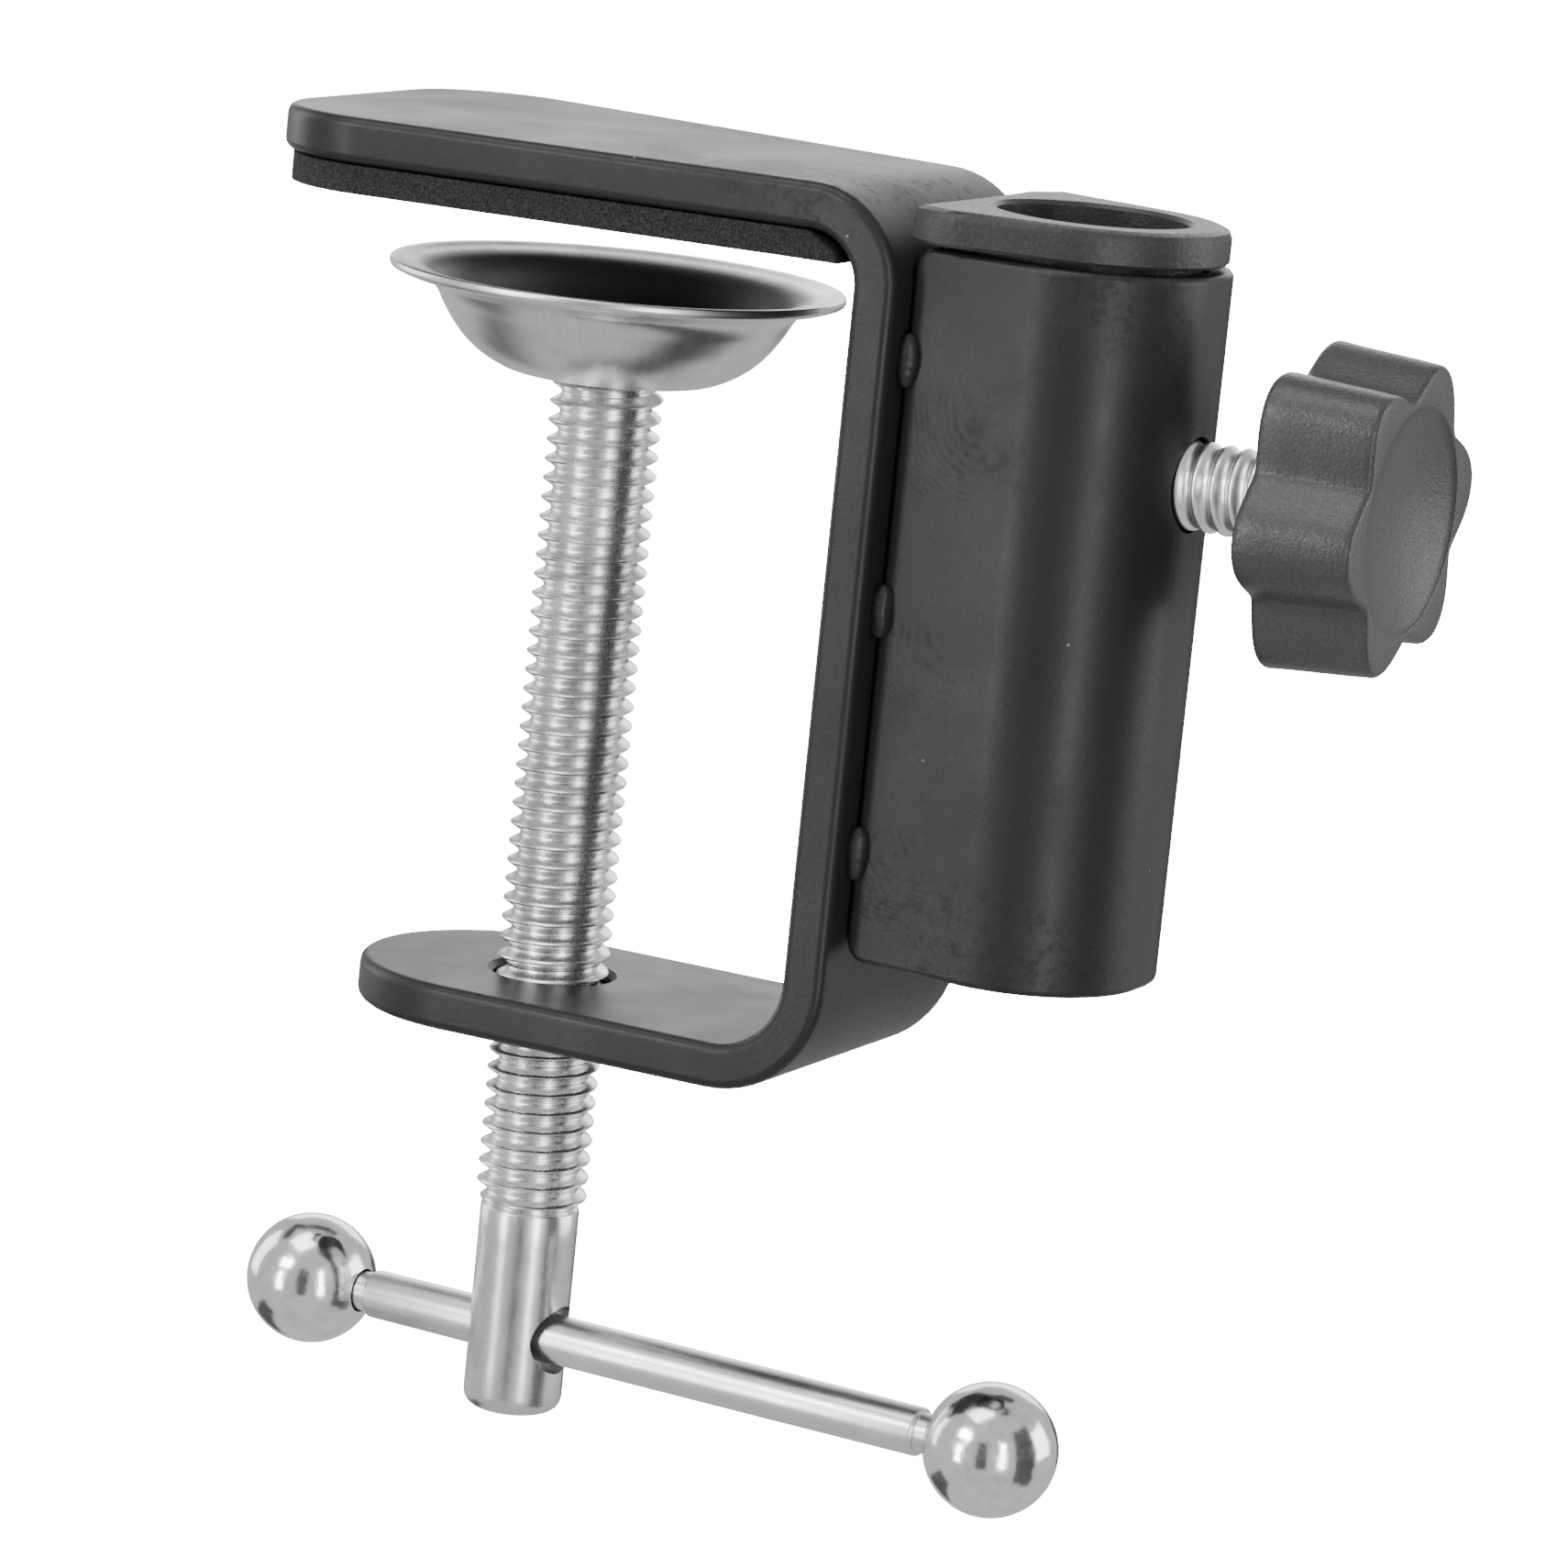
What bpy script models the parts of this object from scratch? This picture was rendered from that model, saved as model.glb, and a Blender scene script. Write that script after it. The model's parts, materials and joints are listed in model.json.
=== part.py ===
"""Table clamp of an embroidery-hoop stand: C-shaped steel frame, post socket, lock screw and spindle.

Units are metres, +Z up. The origin is the centre of the clamping side of the foam pad, on the spindle's axis.
+X runs from the jaws towards the post socket and its lock knob, and the spindle turns about the Z axis.
All lengths below are in millimetres and are scaled by MM when a mesh is made.
"""
import math

import bmesh
import bpy
import numpy as np
from mathutils import Matrix, Vector

MM = 0.001
GAP = 0.3                      # assembly clearance between neighbouring pieces

# ---- C frame: one strip of 4 mm plate bent twice
PLATE = 4.0
EDGE_R = 0.9
STRIP_HALF = 14.0
LEG_IN = 29.3                  # inner face of the leg
LEG_OUT = LEG_IN + PLATE
JAW_UNDER = 2.65               # underside of the upper jaw
LOWER_TOP = -68.3              # upper face of the lower jaw
TOP_BEND = 4.5                 # inner bend radii
LOW_BEND = 6.5
BEND_STEPS = 14                # facets round each bend
NOSE_X = -28.0
NOSE_HALF = 20.0
NOSE_CORNER = 10.0
LOWER_END_X = -3.6             # centre of the lower jaw's round end

# ---- foam pad under the upper jaw
PAD_T = 2.45
PAD_INSET = 0.8
PAD_END_LOW = 27.4             # leg end of the pad: lower and upper edge, sloped to clear the bend
PAD_END_HIGH = 24.4

# ---- post socket
BORE_X = 44.55
BORE_R = 8.3
SHELL_R = 12.0                 # half width of the shell, and its reach from the bore's axis to the nose
SHELL_FLAT = 1.2               # half width of the flat strip on the nose, around the lock screw
SHELL_T = 2.0
SHELL_TOP = 2.3
SHELL_BOTTOM = -59.4
SHELL_ROOT_HALF = 10.8         # half width of the shell where it meets the leg
SHELL_STEPS = 19               # facets round each half of the nose
FLANGE_LOW = 2.8
FLANGE_TOP = 5.9
FLANGE_R = 11.9
LINER_BOTTOM = SHELL_BOTTOM + 1.0
WELD_Z = (-7.4, -28.9, -49.9)
WELD_LEN = 4.8

# ---- lock screw
LOCK_Z = -15.5
STUD_R = 3.85
STUD_HOLE_R = STUD_R + GAP
TIP_FACE = 53.0
TIP_T = 1.2
TIP_PLUG_R = 1.5
TIP_PLUG_LEN = 2.2
STUD_START = TIP_FACE + TIP_T + GAP
KNOB_BACK = 66.0
KNOB_FRONT = 76.35
KNOB_LOBES = 6
KNOB_TURN = math.radians(11.0)
KNOB_LOBE_R = (14.2, 13.5)     # back, front
KNOB_LOBE_POWER = 0.8          # under 1 makes the lobes broader than the flutes
KNOB_VALLEY_R = (11.3, 10.6)
DISH_R = 9.65
DISH_DEPTH = 1.8
STUD_END = 72.6

# ---- spindle, cup and T handle
THREAD_R = 5.0
THREAD_HOLE_R = THREAD_R + GAP
THREAD_END = -89.6
SHANK_R = 4.45
SPINDLE_END = -108.6
CUP_TOP = -5.7
CUP_BOTTOM = -14.7
CUP_T = 1.0
CUP_R = 20.1
SWIVEL_GAP = 0.45
PIN_R = 2.8
PIN_HOLE_R = 3.15
HEAD_R = 4.3
WASHER_R = 5.2
WASHER_T = 1.0
BAR_Z = -101.5
BAR_YAW = math.radians(-3.0)
BAR_R = 2.2
BAR_HOLE_R = 3.1
BALL_R = 6.0
BALL_LEFT = -22.3              # ball centres along the bar, measured from the spindle's axis
BALL_RIGHT = 48.5
NECK_R = 1.8


for old in list(bpy.data.objects):
    bpy.data.objects.remove(old, do_unlink=True)


# ------------------------------------------------------------------------------------------ mesh helpers
def material(name, colour, roughness, metallic):
    mat = bpy.data.materials.new(name)
    mat.use_nodes = True
    shader = mat.node_tree.nodes["Principled BSDF"]
    shader.inputs["Base Color"].default_value = (*colour, 1.0)
    shader.inputs["Roughness"].default_value = roughness
    shader.inputs["Metallic"].default_value = metallic
    return mat


def add_object(name, points, faces, mat, origin=(0.0, 0.0, 0.0)):
    """Mesh object from millimetre points, its origin at `origin` (millimetres)."""
    mesh = bpy.data.meshes.new(name)
    shift = np.array(origin)
    mesh.from_pydata([tuple((np.array(p) - shift) * MM) for p in points], [], faces)
    bm = bmesh.new()
    bm.from_mesh(mesh)
    bmesh.ops.remove_doubles(bm, verts=bm.verts, dist=1e-7)
    bmesh.ops.recalc_face_normals(bm, faces=bm.faces)
    bm.to_mesh(mesh)
    bm.free()
    if mat:
        mesh.materials.append(mat)
    obj = bpy.data.objects.new(name, mesh)
    obj.location = [c * MM for c in origin]
    bpy.context.scene.collection.objects.link(obj)
    return obj


def rings_to_faces(count, size, close_ends=True):
    """Quads between consecutive closed rings of `size` points, with the first and last ring capped."""
    faces = []
    for i in range(count - 1):
        for j in range(size):
            k = (j + 1) % size
            faces.append((i * size + j, i * size + k, (i + 1) * size + k, (i + 1) * size + j))
    if close_ends:
        faces.append(tuple(range(size)))
        faces.append(tuple((count - 1) * size + j for j in reversed(range(size))))
    return faces


def turned(name, profile, mat, axis="Z", centre=(0.0, 0.0, 0.0), origin=None, segments=48, yaw=0.0):
    """Solid of revolution of a closed (radius, height) outline; a radius of 0 makes a pole point."""
    points, ring_ids = [], []
    for radius, height in profile:
        ids = []
        for j in range(1 if radius == 0 else segments):
            a = 2 * math.pi * j / segments
            local = (radius * math.cos(a), radius * math.sin(a), height)
            if axis == "X":
                local = (height, radius * math.cos(a), radius * math.sin(a))
            spun = Matrix.Rotation(yaw, 3, "Z") @ Vector(local)
            ids.append(len(points))
            points.append([spun[k] + centre[k] for k in range(3)])
        ring_ids.append(ids)
    faces = []
    for low, high in zip(ring_ids, ring_ids[1:] + ring_ids[:1]):
        for j in range(segments):
            k = (j + 1) % segments
            if len(low) == 1 and len(high) == 1:
                break
            if len(low) == 1:
                faces.append((low[0], high[k], high[j]))
            elif len(high) == 1:
                faces.append((low[j], low[k], high[0]))
            else:
                faces.append((low[j], low[k], high[k], high[j]))
    return add_object(name, points, faces, mat, origin or centre)


def arc(centre, radius, start, end, steps):
    """Points on an arc in a plane, angles in degrees, both ends included."""
    angles = np.radians(np.linspace(start, end, steps + 1))
    return [(centre[0] + radius * math.cos(a), centre[1] + radius * math.sin(a)) for a in angles]


def path_sampler(segments):
    """Sampler of a path of lines and arcs: length along it -> (point, left-hand normal)."""
    table, total = [], 0.0
    for kind, *data in segments:
        if kind == "line":
            a, b = np.array(data[0]), np.array(data[1])
            length = float(np.linalg.norm(b - a))
        else:
            centre, radius, a0, a1 = data
            length = abs(math.radians(a1 - a0)) * radius
        table.append((total, length, kind, data))
        total += length

    def sample(s):
        start, length, kind, data = [row for row in table if row[0] <= max(s, 0.0) + 1e-9][-1]
        u = s - start
        if kind == "line":
            a, b = np.array(data[0]), np.array(data[1])
            direction = (b - a) / np.linalg.norm(b - a)
            return a + direction * u, np.array([-direction[1], direction[0]])
        centre, radius, a0, a1 = data
        sign = 1 if a1 > a0 else -1
        angle = math.radians(a0) + sign * u / radius
        out = np.array([math.cos(angle), math.sin(angle)])
        return np.array(centre) + radius * out, -sign * out

    return sample, total, [row[0] for row in table]


def bent_sheet(name, stations, sample, place, thickness, edge_r, mat, edge_steps=4):
    """Sheet cut to an outline and bent along a path, with rounded edges.

    `stations` are (s, low, high): the two edges of the flat blank at each length s along the path.
    `place` turns (path point, across) into a space point.
    """
    loop = [(s, low) for s, low, high in stations] + [(s, high) for s, low, high in reversed(stations)]
    flat = np.array(loop, float)
    edge = np.roll(flat, -1, axis=0) - flat
    edge /= np.linalg.norm(edge, axis=1)[:, None]
    normal = np.stack([-edge[:, 1], edge[:, 0]], axis=1)
    mean = normal + np.roll(normal, 1, axis=0)
    mean /= np.linalg.norm(mean, axis=1)[:, None]
    inward = mean / np.maximum((mean * normal).sum(axis=1), 0.5)[:, None]
    half = thickness / 2
    levels = []
    for k in range(edge_steps + 1):
        a = math.pi / 2 * k / edge_steps
        levels.append((edge_r * (1 - math.sin(a)), half - edge_r * (1 - math.cos(a))))
    levels += [(inset, -t) for inset, t in reversed(levels)]
    points = []
    for inset, t in levels:
        for (s, across) in flat + inward * inset:
            spot, side = sample(s)
            points.append(place(spot + side * t, across))
    size, n = len(loop), len(stations)
    faces = rings_to_faces(len(levels), size, close_ends=False)
    for base in (0, (len(levels) - 1) * size):
        for i in range(n - 1):
            faces.append((base + i, base + i + 1, base + size - 2 - i, base + size - 1 - i))
    return add_object(name, points, faces, mat)


def ring_distance(outline, angle):
    """Distance from (0, 0) to a star-shaped closed outline in the given direction."""
    ray = np.array([math.cos(angle), math.sin(angle)])
    best = 0.0
    for a, b in zip(outline, outline[1:] + outline[:1]):
        a, b = np.array(a), np.array(b)
        e = b - a
        det = ray[0] * -e[1] + ray[1] * e[0]
        if abs(det) < 1e-12:
            continue
        t = (a[0] * -e[1] + a[1] * e[0]) / det
        u = (ray[0] * a[1] - ray[1] * a[0]) / det
        if t > 0 and -1e-9 <= u <= 1 + 1e-9:
            best = max(best, t)
    return best


def cut(target, cutter):
    """Exact boolean difference; the cutter stays in the file as a hidden wire object."""
    cutter.hide_render = True
    cutter.display_type = "WIRE"
    mod = target.modifiers.new("cut_" + cutter.name, "BOOLEAN")
    mod.operation = "DIFFERENCE"
    mod.solver = "EXACT"
    mod.object = cutter


# ------------------------------------------------------------------------------------------ clamp frame
def upper_half_width(x):
    """Half width of the upper jaw at x: it flares evenly from the bend to the nose."""
    root = LEG_OUT - PLATE - TOP_BEND
    return STRIP_HALF + (NOSE_HALF - STRIP_HALF) * max(root - x, 0.0) / (root - NOSE_X)


def upper_outline(inset, steps=12):
    """(x, half width) of the upper jaw's plan outline from the nose to the bend."""
    slope = math.atan2(NOSE_HALF - STRIP_HALF, LEG_IN - TOP_BEND - NOSE_X)
    nose, corner = NOSE_X + inset, max(NOSE_CORNER - inset, 0.5)
    centre_y = upper_half_width(nose + corner) - (inset + corner) / math.cos(slope)
    return arc((nose + corner, centre_y), corner, 180, 90 - math.degrees(slope), steps)


def lower_outline(steps=16):
    """(x, half width) of the lower jaw's half-round end."""
    return arc((LOWER_END_X, 0.0), STRIP_HALF, 90, 180 - 45 / steps, steps)


def make_frame():
    top_mid, low_mid = JAW_UNDER + PLATE / 2, LOWER_TOP - PLATE / 2
    top_root, low_root = LEG_IN - TOP_BEND, LEG_IN - LOW_BEND
    r_top, r_low = TOP_BEND + PLATE / 2, LOW_BEND + PLATE / 2
    top_centre = (top_root, JAW_UNDER - TOP_BEND)
    low_centre = (low_root, LOWER_TOP + LOW_BEND)
    leg_mid = LEG_IN + PLATE / 2
    sample, _, starts = path_sampler([
        ("line", (NOSE_X, top_mid), (top_root, top_mid)),
        ("arc", top_centre, r_top, 90, 0),
        ("line", (leg_mid, top_centre[1]), (leg_mid, low_centre[1])),
        ("arc", low_centre, r_low, 0, -90),
        ("line", (low_root, low_mid), (LOWER_END_X - STRIP_HALF, low_mid)),
    ])
    stations = [(x - NOSE_X, w) for x, w in upper_outline(0.0)]
    stations += [(x - NOSE_X, upper_half_width(x)) for x in (-12.0, 6.0)]
    for first, radius in ((starts[1], r_top), (starts[3], r_low)):
        quarter = radius * math.pi / 2
        stations += [(first + quarter * k / BEND_STEPS, STRIP_HALF) for k in range(BEND_STEPS + 1)]
    stations += [(starts[4] + low_root - x, w) for x, w in lower_outline()]
    frame = bent_sheet(
        "clamp_frame", [(s, -w, w) for s, w in stations], sample,
        lambda spot, across: (spot[0], across, spot[1]), PLATE, EDGE_R,
        material("frame_black_coat", (0.022, 0.022, 0.023), 0.42, 0.0))
    chamfer = 0.5
    wide, under, clear = THREAD_HOLE_R + chamfer, LOWER_TOP - PLATE, 3.0
    cut(frame, turned("frame_hole_cutter", [
        (0, LOWER_TOP + clear), (wide, LOWER_TOP + clear), (wide, LOWER_TOP),
        (THREAD_HOLE_R, LOWER_TOP - chamfer), (THREAD_HOLE_R, under + chamfer),
        (wide, under), (wide, under - clear), (0, under - clear)], None))


def make_pad():
    """Closed-cell foam pad: the upper jaw's outline, set in a little, with a sloped leg end."""
    side = upper_outline(PAD_INSET) + [(x, upper_half_width(x) - PAD_INSET) for x in (-12.0, 6.0, 22.0)]
    half = STRIP_HALF - PAD_INSET
    points = []
    for z, end in ((0.0, PAD_END_LOW), (1.0, PAD_END_LOW - 0.5), (PAD_T, PAD_END_HIGH)):
        near = [(x, -w) for x, w in side] + [(end, -half)]
        far = [(end, half)] + [(x, w) for x, w in reversed(side)]
        points += [(x, y, z) for x, y in near + far]
    size = len(points) // 3
    add_object("jaw_pad", points, rings_to_faces(3, size),
               material("pad_foam", (0.02, 0.02, 0.02), 0.95, 0.0))


# ------------------------------------------------------------------------------------------ post socket
def tangent_turn(radius, dx, dy):
    """Angle (from +X, degrees) at which a line from (dx, dy) touches a circle about (0, 0)."""
    return math.degrees(math.atan2(dy, dx) - math.acos(min(1.0, radius / math.hypot(dx, dy))))


def make_shell():
    bend_r = SHELL_R - SHELL_FLAT - SHELL_T / 2
    bend_x = BORE_X + SHELL_FLAT
    root_x, root_y = LEG_OUT + GAP, SHELL_ROOT_HALF - SHELL_T / 2
    turn = tangent_turn(bend_r, root_x - bend_x, root_y - SHELL_FLAT)
    tangent_x = bend_x + bend_r * math.cos(math.radians(turn))
    tangent_y = SHELL_FLAT + bend_r * math.sin(math.radians(turn))
    sample, total, starts = path_sampler([
        ("line", (root_x, -root_y), (tangent_x, -tangent_y)),
        ("arc", (bend_x, -SHELL_FLAT), bend_r, -turn, 0),
        ("line", (bend_x + bend_r, -SHELL_FLAT), (bend_x + bend_r, SHELL_FLAT)),
        ("arc", (bend_x, SHELL_FLAT), bend_r, 0, turn),
        ("line", (tangent_x, tangent_y), (root_x, root_y)),
    ])
    corner = 1.8
    ends = [(corner * (1 - math.cos(math.radians(a))), corner * (1 - math.sin(math.radians(a))))
            for a in (0, 30, 60, 90)]
    stations = [(s, SHELL_BOTTOM + drop, SHELL_TOP - drop) for s, drop in ends]
    for first, last in ((starts[1], starts[2]), (starts[3], starts[4])):
        stations += [(first + (last - first) * k / SHELL_STEPS, SHELL_BOTTOM, SHELL_TOP)
                     for k in range(SHELL_STEPS + 1)]
    stations += [(total - s, SHELL_BOTTOM + drop, SHELL_TOP - drop) for s, drop in reversed(ends)]
    shell = bent_sheet(
        "socket_shell", stations, sample, lambda spot, across: (spot[0], spot[1], across), SHELL_T, 0.6,
        material("socket_black_coat", (0.024, 0.024, 0.025), 0.4, 0.0), edge_steps=3)
    cut(shell, turned("shell_hole_cutter", [
        (0, SHELL_R - 6), (STUD_HOLE_R, SHELL_R - 6), (STUD_HOLE_R, SHELL_R + 4), (0, SHELL_R + 4)],
        None, axis="X", centre=(BORE_X, 0.0, LOCK_Z), segments=32))


def d_outline(radius, root_x, root_half, corner):
    """D-shaped outline about the bore centre: flat side at root_x, straight sides, round nose."""
    dx = root_x - BORE_X
    turn = tangent_turn(radius, dx, root_half)
    nose = arc((0, 0), radius, -turn, turn, 36)
    tangent = np.array(nose[-1])
    along = tangent - np.array([dx, root_half])
    lean = math.degrees(math.atan2(along[1], along[0]))
    inner = (90 + lean) / 2
    back = corner / math.tan(math.radians(inner))
    centre = (dx + corner, root_half - back)
    upper = arc(centre, corner, 90 + lean, 180, 6)
    return nose + upper + [(x, -y) for x, y in reversed(upper)]


def make_liner():
    """Plastic bush: D-shaped stem inside the shell, flange on top, round bore for the post."""
    root = LEG_OUT + GAP
    stem = d_outline(SHELL_R - SHELL_T - GAP, root, SHELL_ROOT_HALF - SHELL_T - GAP, 0.8)
    flange = d_outline(FLANGE_R, root, STRIP_HALF - 0.2, 1.4)
    marks = sorted({round(math.atan2(y, x), 5) for x, y in stem + flange}
                   | {round(a, 5) for a in np.linspace(-math.pi, math.pi, 61)[:-1]})
    angles = [a for i, a in enumerate(marks) if i == 0 or a - marks[i - 1] > 0.025]
    rows = [(stem, 0.5, LINER_BOTTOM), (stem, 0.0, LINER_BOTTOM + 0.5), (stem, 0.0, FLANGE_LOW),
            (flange, 0.3, FLANGE_LOW), (flange, 0.0, FLANGE_LOW + 0.3), (flange, 0.0, FLANGE_TOP - 0.9),
            (flange, 0.26, FLANGE_TOP - 0.26), (flange, 0.9, FLANGE_TOP), (None, BORE_R + 0.35, FLANGE_TOP),
            (None, BORE_R, FLANGE_TOP - 0.35), (None, BORE_R, LINER_BOTTOM + 0.4),
            (None, BORE_R + 0.3, LINER_BOTTOM)]
    points = []
    for outline, amount, z in rows:
        for a in angles:
            r = amount if outline is None else ring_distance(outline, a) - amount
            points.append((BORE_X + r * math.cos(a), r * math.sin(a), z))
    count, size = len(rows), len(angles)
    faces = rings_to_faces(count, size, close_ends=False)
    faces += [((count - 1) * size + j, (count - 1) * size + (j + 1) % size, (j + 1) % size, j)
              for j in range(size)]
    liner = add_object("socket_liner", points, faces,
                       material("liner_plastic", (0.055, 0.055, 0.056), 0.55, 0.0))
    cut(liner, turned("liner_window_cutter", [
        (0, 6.5), (STUD_HOLE_R, 6.5), (STUD_HOLE_R, SHELL_R), (0, SHELL_R)],
        None, axis="X", centre=(BORE_X, 0.0, LOCK_Z), segments=32))


def make_welds():
    """Short fillet weld beads, three down each side, in the corner between shell and leg."""
    mat = material("weld_black_coat", (0.03, 0.03, 0.031), 0.38, 0.0)
    for side, sign in (("near", -1), ("far", 1)):
        for index, z_mid in enumerate(WELD_Z):
            points, rings, size = [], 7, 10
            for i in range(rings):
                lat = -90 + 180 * (i + 0.5) / rings
                z = z_mid + WELD_LEN / 2 * math.sin(math.radians(lat))
                r = math.cos(math.radians(lat)) ** 0.6
                for j in range(size):
                    a = 2 * math.pi * j / size
                    points.append((LEG_OUT + 0.95 + 0.8 * r * math.cos(a),
                                   sign * (SHELL_ROOT_HALF + 1.15 + 0.8 * r * math.sin(a)), z))
            add_object(f"weld_{side}_{index + 1}", points, rings_to_faces(rings, size), mat.copy())


# ------------------------------------------------------------------------------------------ lock screw
def make_lock_screw():
    """Threaded stud moulded into the knob, with a soft tip pressed into its end."""
    lock_origin = (TIP_FACE, 0.0, LOCK_Z)
    turned("stud_tip", [
        (0, 0), (2.7, 0), (3.2, 0.4), (3.2, TIP_T), (TIP_PLUG_R, TIP_T),
        (TIP_PLUG_R, TIP_T + TIP_PLUG_LEN), (0, TIP_T + TIP_PLUG_LEN)],
        material("tip_nylon", (0.62, 0.6, 0.54), 0.5, 0.0), axis="X", centre=lock_origin, segments=24)
    start, end = STUD_START - TIP_FACE, STUD_END - TIP_FACE
    bore_r, bore_end = TIP_PLUG_R + GAP, TIP_T + TIP_PLUG_LEN + GAP
    turned("knob_stud", [
        (bore_r, start), (STUD_R - 0.5, start), (STUD_R, start + 0.5), (STUD_R, end - 0.4),
        (STUD_R - 0.4, end), (0, end), (0, bore_end), (bore_r, bore_end)],
        material("stud_zinc", (0.7, 0.7, 0.7), 0.28, 1.0), axis="X", centre=lock_origin, segments=32)
    make_knob(lock_origin)


def make_knob(lock_origin):
    """Star knob: fluted side with a little draft, rounded rims, flat back with a blind hole, dished front."""
    steps = 14 * KNOB_LOBES
    angles = [2 * math.pi * j / steps for j in range(steps)]

    def lobed(a, u, inset):
        valley = KNOB_VALLEY_R[0] + (KNOB_VALLEY_R[1] - KNOB_VALLEY_R[0]) * u
        lobe = KNOB_LOBE_R[0] + (KNOB_LOBE_R[1] - KNOB_LOBE_R[0]) * u
        wave = (0.5 + 0.5 * math.cos(KNOB_LOBES * (a - KNOB_TURN))) ** KNOB_LOBE_POWER
        return valley + (lobe - valley) * wave - inset

    hole = STUD_R + 0.15
    hole_end = STUD_END + 0.2
    rows = [(None, hole, hole_end), (None, hole, KNOB_BACK), (0.0, 0.7, KNOB_BACK),
            (0.0, 0.2, KNOB_BACK + 0.2), (0.0, 0.0, KNOB_BACK + 0.7), (1.0, 0.0, KNOB_FRONT - 0.5),
            (1.0, 0.15, KNOB_FRONT - 0.15), (1.0, 0.5, KNOB_FRONT), (None, DISH_R, KNOB_FRONT)]
    for share in (0.8, 0.55, 0.25):
        rows.append((None, DISH_R * share, KNOB_FRONT - DISH_DEPTH * (1 - share ** 2)))
    points = []
    for u, amount, x in rows:
        for a in angles:
            r = amount if u is None else lobed(a, u, amount)
            points.append((x, r * math.cos(a), LOCK_Z + r * math.sin(a)))
    add_object("lock_knob", points, rings_to_faces(len(rows), steps),
               material("knob_plastic", (0.075, 0.075, 0.076), 0.55, 0.0), origin=lock_origin)


# ------------------------------------------------------------------------------------------ spindle and cup
def make_spindle():
    shoulder = CUP_BOTTOM - SWIVEL_GAP
    head_low = CUP_BOTTOM + CUP_T + 2 * SWIVEL_GAP + WASHER_T
    spindle = turned("spindle", [
        (0, SPINDLE_END), (3.2, SPINDLE_END), (SHANK_R - 0.35, SPINDLE_END + 0.45),
        (SHANK_R, SPINDLE_END + 1.3), (SHANK_R, THREAD_END - 0.3), (THREAD_R - 0.9, THREAD_END),
        (THREAD_R, THREAD_END + 0.9), (THREAD_R, shoulder - 0.7), (THREAD_R - 0.7, shoulder),
        (PIN_R, shoulder), (PIN_R, head_low), (HEAD_R - 0.3, head_low), (HEAD_R, head_low + 0.3),
        (HEAD_R - 0.6, head_low + 1.0), (0, head_low + 1.2)],
        material("spindle_zinc", (0.68, 0.67, 0.66), 0.27, 1.0), segments=36)
    cut(spindle, turned("bar_hole_cutter", [(0, -8), (BAR_HOLE_R, -8), (BAR_HOLE_R, 8), (0, 8)],
                        None, axis="X", centre=(0.0, 0.0, BAR_Z), segments=32, yaw=BAR_YAW))
    inside = CUP_BOTTOM + CUP_T
    low = inside + SWIVEL_GAP
    turned("cup_washer", [(PIN_HOLE_R, low), (WASHER_R - 0.2, low), (WASHER_R, low + 0.2),
                          (WASHER_R, low + WASHER_T - 0.2), (WASHER_R - 0.2, low + WASHER_T),
                          (PIN_HOLE_R, low + WASHER_T)],
           material("washer_steel", (0.6, 0.6, 0.6), 0.35, 1.0), origin=(0.0, 0.0, low), segments=28)
    make_cup()


def make_cup():
    """Pressed cup: flat base, round bowl and a slightly rising lip, one sheet thickness throughout."""
    height = CUP_TOP - CUP_BOTTOM
    outer = [(PIN_HOLE_R, 0.0), (8.6, 0.1), (10.5, 0.75), (12.3, 1.9), (13.8, 3.4), (15.1, 5.3),
             (15.7, 6.4), (16.4, 7.15), (17.6, 7.6), (19.0, 7.9), (CUP_R - 0.15, height - CUP_T * 0.75),
             (CUP_R, height - CUP_T * 0.45)]
    inner = [(CUP_R - 0.1, height - 0.1), (CUP_R - 0.2, height), (CUP_R - 0.8, height), (18.4, 8.75),
             (17.0, 8.45), (15.9, 8.05), (15.0, 7.1), (14.2, 5.8), (12.9, 4.1), (11.5, 2.7), (9.9, 1.6),
             (8.3, 1.1), (PIN_HOLE_R, CUP_T)]
    turned("pressure_cup", [(r, CUP_BOTTOM + h) for r, h in outer + inner],
           material("cup_steel", (0.62, 0.61, 0.6), 0.33, 1.0),
           origin=(0.0, 0.0, CUP_BOTTOM + CUP_T / 2), segments=48)


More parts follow.
